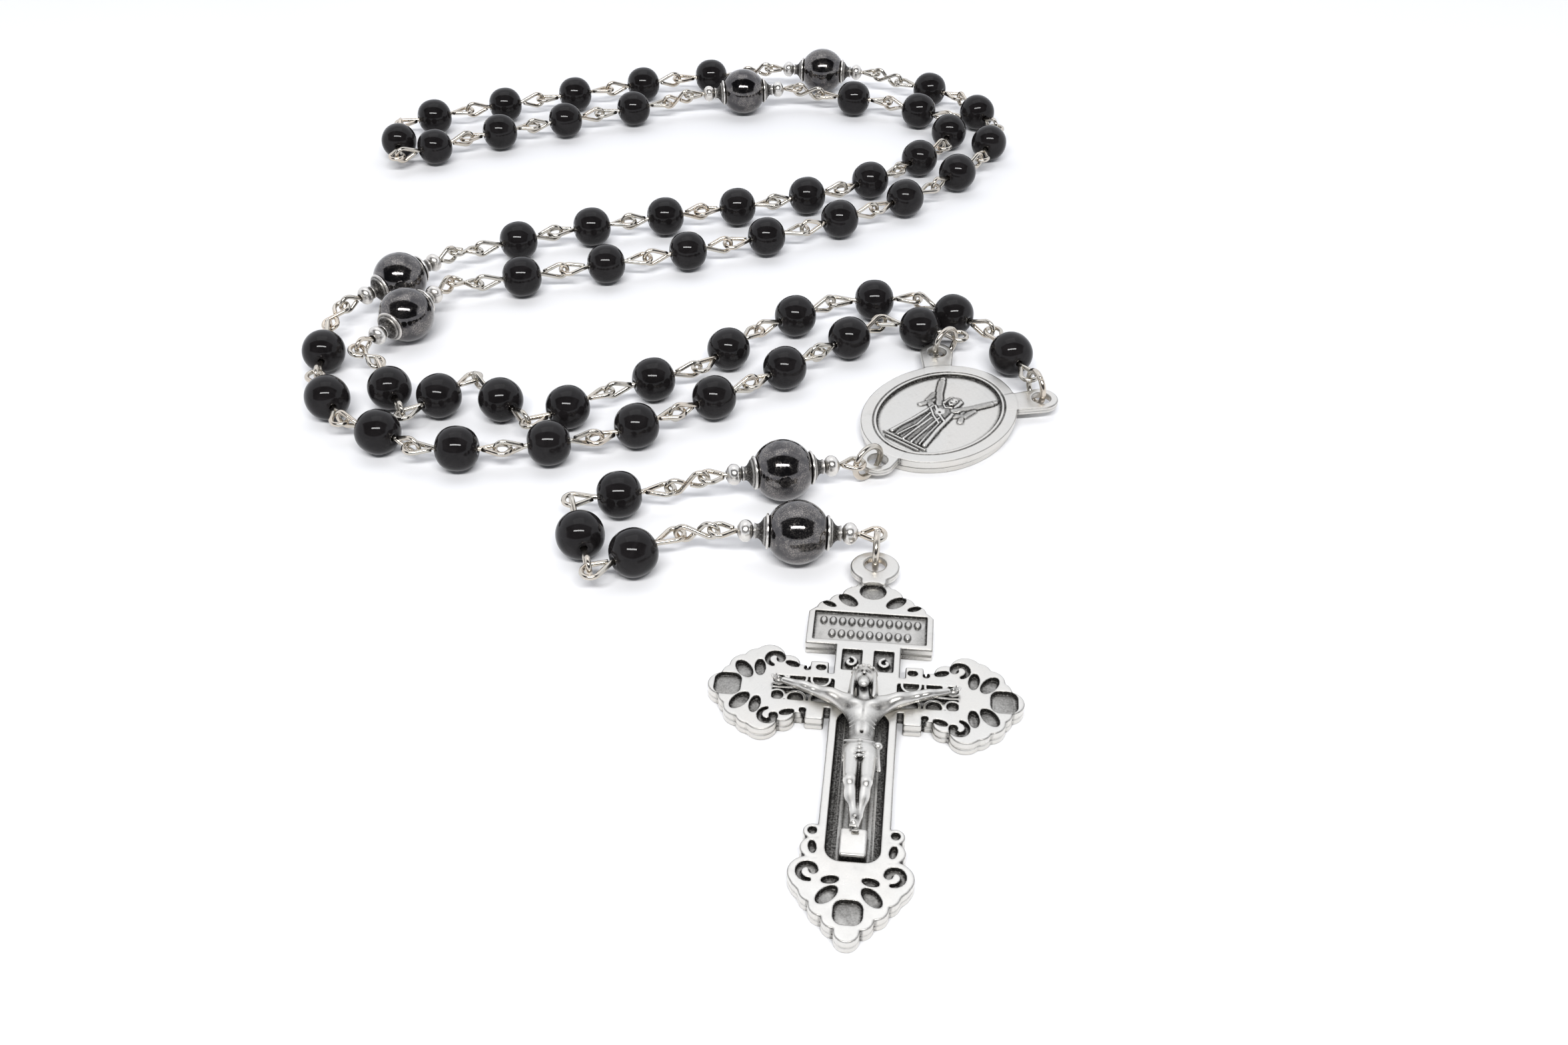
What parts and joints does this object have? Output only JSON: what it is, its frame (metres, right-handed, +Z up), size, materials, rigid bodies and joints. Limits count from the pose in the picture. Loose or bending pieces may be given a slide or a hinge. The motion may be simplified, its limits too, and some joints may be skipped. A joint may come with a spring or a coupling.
{
  "type": "rosary",
  "caption": "Rosary of black glass and hematite beads on linked wires, with a centre medal and a crucifix, lying on a flat surface.",
  "frame": {"origin": "centre of the medal's flat back, on the surface that the rosary lies on", "axes": "+Z up from the surface; +Y away from the viewer, from the crucifix towards the loop's far end; +X to the right"},
  "size_m": [0.107, 0.1908, 0.0078],
  "materials": {
    "black_glass": "gloss",
    "hematite": "gloss",
    "wire_silver": "satin",
    "bright_silver": "satin",
    "antique_silver": "satin"
  },
  "bodies": {
    "medal": {"medal": "antique_silver", "right_start_beads": "black_glass", "right_start_wires": "wire_silver", "left_start_beads": "black_glass", "left_start_wires": "wire_silver"},
    "ring_right": {"ring_right": "wire_silver"},
    "ring_left": {"ring_left": "wire_silver"},
    "right_sway": {"right_sway_beads": "black_glass", "right_sway_wires": "wire_silver"},
    "right_run": {"right_run_beads": "black_glass", "right_run_wires": "wire_silver"},
    "right_second": {"right_second_beads": "black_glass", "right_second_wires": "wire_silver", "pater_right_1_wire": "wire_silver", "pater_right_1_fittings": "bright_silver"},
    "right_turn": {"right_turn_beads": "black_glass", "right_turn_wires": "wire_silver", "pater_right_2_wire": "wire_silver", "pater_right_2_fittings": "bright_silver"},
    "right_end": {"right_end_beads": "black_glass", "right_end_wires": "wire_silver"},
    "pater_right_1_bead": {"pater_right_1_bead": "hematite"},
    "pater_right_2_bead": {"pater_right_2_bead": "hematite"},
    "left_sway": {"left_sway_beads": "black_glass", "left_sway_wires": "wire_silver"},
    "left_run": {"left_run_beads": "black_glass", "left_run_wires": "wire_silver"},
    "left_second": {"left_second_beads": "black_glass", "left_second_wires": "wire_silver", "pater_left_1_wire": "wire_silver", "pater_left_1_fittings": "bright_silver"},
    "left_turn": {"left_turn_beads": "black_glass", "left_turn_wires": "wire_silver", "pater_left_2_wire": "wire_silver", "pater_left_2_fittings": "bright_silver"},
    "left_end": {"left_end_beads": "black_glass", "left_end_wires": "wire_silver"},
    "pater_left_1_bead": {"pater_left_1_bead": "hematite"},
    "pater_left_2_bead": {"pater_left_2_bead": "hematite"},
    "ring_pendant": {"ring_pendant": "wire_silver"},
    "pater_1": {"pater_1_wire": "wire_silver", "pater_1_fittings": "bright_silver"},
    "pater_1_bead": {"pater_1_bead": "hematite"},
    "link_1": {"link_1": "wire_silver"},
    "ave_1": {"ave_1_wire": "wire_silver"},
    "ave_1_bead": {"ave_1_bead": "black_glass"},
    "ave_2": {"ave_2_wire": "wire_silver"},
    "ave_2_bead": {"ave_2_bead": "black_glass"},
    "ave_3": {"ave_3_wire": "wire_silver"},
    "ave_3_bead": {"ave_3_bead": "black_glass"},
    "link_2": {"link_2": "wire_silver"},
    "pater_2": {"pater_2_wire": "wire_silver", "pater_2_fittings": "bright_silver"},
    "pater_2_bead": {"pater_2_bead": "hematite"},
    "ring_crucifix": {"ring_crucifix": "wire_silver"},
    "crucifix": {"crucifix": "antique_silver", "corpus": "antique_silver"}
  },
  "joints": [
    {"name": "ring_right_turn", "type": "hinge", "parent": "medal", "child": "ring_right", "pos_m": [0.01392, 0.0032, 0.0016], "axis": [0, 0, 1], "range_deg": [-4, 4]},
    {"name": "ring_left_turn", "type": "hinge", "parent": "medal", "child": "ring_left", "pos_m": [0.00074, 0.01426, 0.0016], "axis": [0, 0, 1], "range_deg": [-2, 2]},
    {"name": "right_sway_turn", "type": "hinge", "parent": "medal", "child": "right_sway", "pos_m": [-0.01339, 0.02611, 0.003], "axis": [0, 0, 1], "range_deg": [-15, 9]},
    {"name": "right_run_turn", "type": "hinge", "parent": "right_sway", "child": "right_run", "pos_m": [-0.02462, 0.01825, 0.003], "axis": [0, 0, 1], "range_deg": [-9, 15]},
    {"name": "left_sway_turn", "type": "hinge", "parent": "medal", "child": "left_sway", "pos_m": [-0.02436, 0.00593, 0.003], "axis": [0, 0, 1], "range_deg": [-15, 9]},
    {"name": "left_run_turn", "type": "hinge", "parent": "left_sway", "child": "left_run", "pos_m": [-0.03558, -0.00193, 0.003], "axis": [0, 0, 1], "range_deg": [-9, 15]},
    {"name": "right_fold_near", "type": "hinge", "parent": "right_run", "child": "right_second", "pos_m": [-0.07591, 0.00996, 0.00275], "axis": [0.9773, 0.2101, -0.0272], "range_deg": [0, 15]},
    {"name": "left_fold_near", "type": "hinge", "parent": "left_run", "child": "left_second", "pos_m": [-0.08493, 0.00802, 0.003], "axis": [0.9773, 0.2101, -0.0272], "range_deg": [0, 15]},
    {"name": "right_fold_middle", "type": "hinge", "parent": "right_second", "child": "right_turn", "pos_m": [0.01151, 0.09454, 0.003], "axis": [0.9908, 0.1355, 0], "range_deg": [0, 15]},
    {"name": "left_fold_middle", "type": "hinge", "parent": "left_second", "child": "left_turn", "pos_m": [-0.00151, 0.09276, 0.003], "axis": [0.9908, 0.1355, 0], "range_deg": [0, 15]},
    {"name": "right_fold_far", "type": "hinge", "parent": "right_turn", "child": "right_end", "pos_m": [-0.04078, 0.1027, 0.003], "axis": [0.015, 0.9999, 0], "range_deg": [0, 15]},
    {"name": "left_fold_far", "type": "hinge", "parent": "left_turn", "child": "left_end", "pos_m": [-0.04093, 0.09285, 0.003], "axis": [0.015, 0.9999, 0], "range_deg": [0, 15]},
    {"name": "pater_right_1_spin", "type": "hinge", "parent": "right_second", "child": "pater_right_1_bead", "pos_m": [-0.07449, 0.0211, 0.0039], "axis": [0.4882, 0.8727, 0], "continuous": true},
    {"name": "pater_right_2_spin", "type": "hinge", "parent": "right_turn", "child": "pater_right_2_bead", "pos_m": [-0.01358, 0.10426, 0.0039], "axis": [-0.9935, 0.1138, 0], "continuous": true},
    {"name": "pater_left_1_spin", "type": "hinge", "parent": "left_second", "child": "pater_left_1_bead", "pos_m": [-0.07725, 0.03088, 0.0039], "axis": [0.6639, 0.7478, 0], "continuous": true},
    {"name": "pater_left_2_spin", "type": "hinge", "parent": "left_turn", "child": "pater_left_2_bead", "pos_m": [-0.02792, 0.09535, 0.0039], "axis": [-0.9897, -0.1434, 0], "continuous": true},
    {"name": "ring_pendant_turn", "type": "hinge", "parent": "medal", "child": "ring_pendant", "pos_m": [-0.00868, -0.01034, 0.0016], "axis": [0, 0, 1], "range_deg": [-8, 40]},
    {"name": "pater_1_lift", "type": "hinge", "parent": "ring_pendant", "child": "pater_1", "pos_m": [-0.01059, -0.0127, 0.00335], "axis": [-0.2079, 0.9781, 0], "range_deg": [0, 12]},
    {"name": "link_1_turn", "type": "hinge", "parent": "pater_1", "child": "link_1", "pos_m": [-0.03007, -0.01684, 0.0044], "axis": [-0.2616, -0.0368, 0.9645], "range_deg": [-25, 12]},
    {"name": "ave_1_lift", "type": "hinge", "parent": "link_1", "child": "ave_1", "pos_m": [-0.0342, -0.01739, 0.003], "axis": [-0.1736, 0.9848, 0], "range_deg": [0, 15]},
    {"name": "ave_2_turn", "type": "hinge", "parent": "ave_1", "child": "ave_2", "pos_m": [-0.04676, -0.0196, 0.003], "axis": [0, 0, -1], "range_deg": [-5, 25]},
    {"name": "ave_3_lift", "type": "hinge", "parent": "ave_2", "child": "ave_3", "pos_m": [-0.04399, -0.03338, 0.003], "axis": [0.5736, -0.8192, 0], "range_deg": [0, 20]},
    {"name": "link_2_turn", "type": "hinge", "parent": "ave_3", "child": "link_2", "pos_m": [-0.03355, -0.02607, 0.003], "axis": [-0.2601, 0.0459, 0.9645], "range_deg": [-20, 10]},
    {"name": "pater_2_lift", "type": "hinge", "parent": "link_2", "child": "pater_2", "pos_m": [-0.02946, -0.02697, 0.00445], "axis": [0.0175, -0.9998, 0], "range_deg": [0, 20]},
    {"name": "ring_crucifix_turn", "type": "hinge", "parent": "pater_2", "child": "ring_crucifix", "pos_m": [-0.00954, -0.02662, 0.0034], "axis": [0, 0, 1], "range_deg": [-10, 20]},
    {"name": "crucifix_lift", "type": "hinge", "parent": "ring_crucifix", "child": "crucifix", "pos_m": [-0.00974, -0.02868, 0.00265], "axis": [-0.9952, 0.0976, 0], "range_deg": [0, 60]},
    {"name": "pater_1_spin", "type": "hinge", "parent": "pater_1", "child": "pater_1_bead", "pos_m": [-0.02079, -0.01487, 0.0039], "axis": [-0.9768, -0.2076, 0.0526], "continuous": true},
    {"name": "pater_2_spin", "type": "hinge", "parent": "pater_2", "child": "pater_2_bead", "pos_m": [-0.01903, -0.02679, 0.0039], "axis": [0.9985, 0.0174, -0.0526], "continuous": true},
    {"name": "ave_1_spin", "type": "hinge", "parent": "ave_1", "child": "ave_1_bead", "pos_m": [-0.04095, -0.01858, 0.003], "axis": [-0.9848, -0.1736, 0], "continuous": true},
    {"name": "ave_2_spin", "type": "hinge", "parent": "ave_2", "child": "ave_2_bead", "pos_m": [-0.04498, -0.02622, 0.003], "axis": [0.2588, -0.9659, 0], "continuous": true},
    {"name": "ave_3_spin", "type": "hinge", "parent": "ave_3", "child": "ave_3_bead", "pos_m": [-0.03838, -0.02945, 0.003], "axis": [0.8192, 0.5736, 0], "continuous": true}
  ],
  "couplings": [
    {"joint": "right_run_turn", "follows": "right_sway_turn", "ratio": -1},
    {"joint": "left_sway_turn", "follows": "right_sway_turn", "ratio": 1},
    {"joint": "left_run_turn", "follows": "right_sway_turn", "ratio": -1},
    {"joint": "left_fold_near", "follows": "right_fold_near", "ratio": 1},
    {"joint": "right_fold_middle", "follows": "left_fold_middle", "ratio": 1},
    {"joint": "left_fold_far", "follows": "right_fold_far", "ratio": 1}
  ]
}
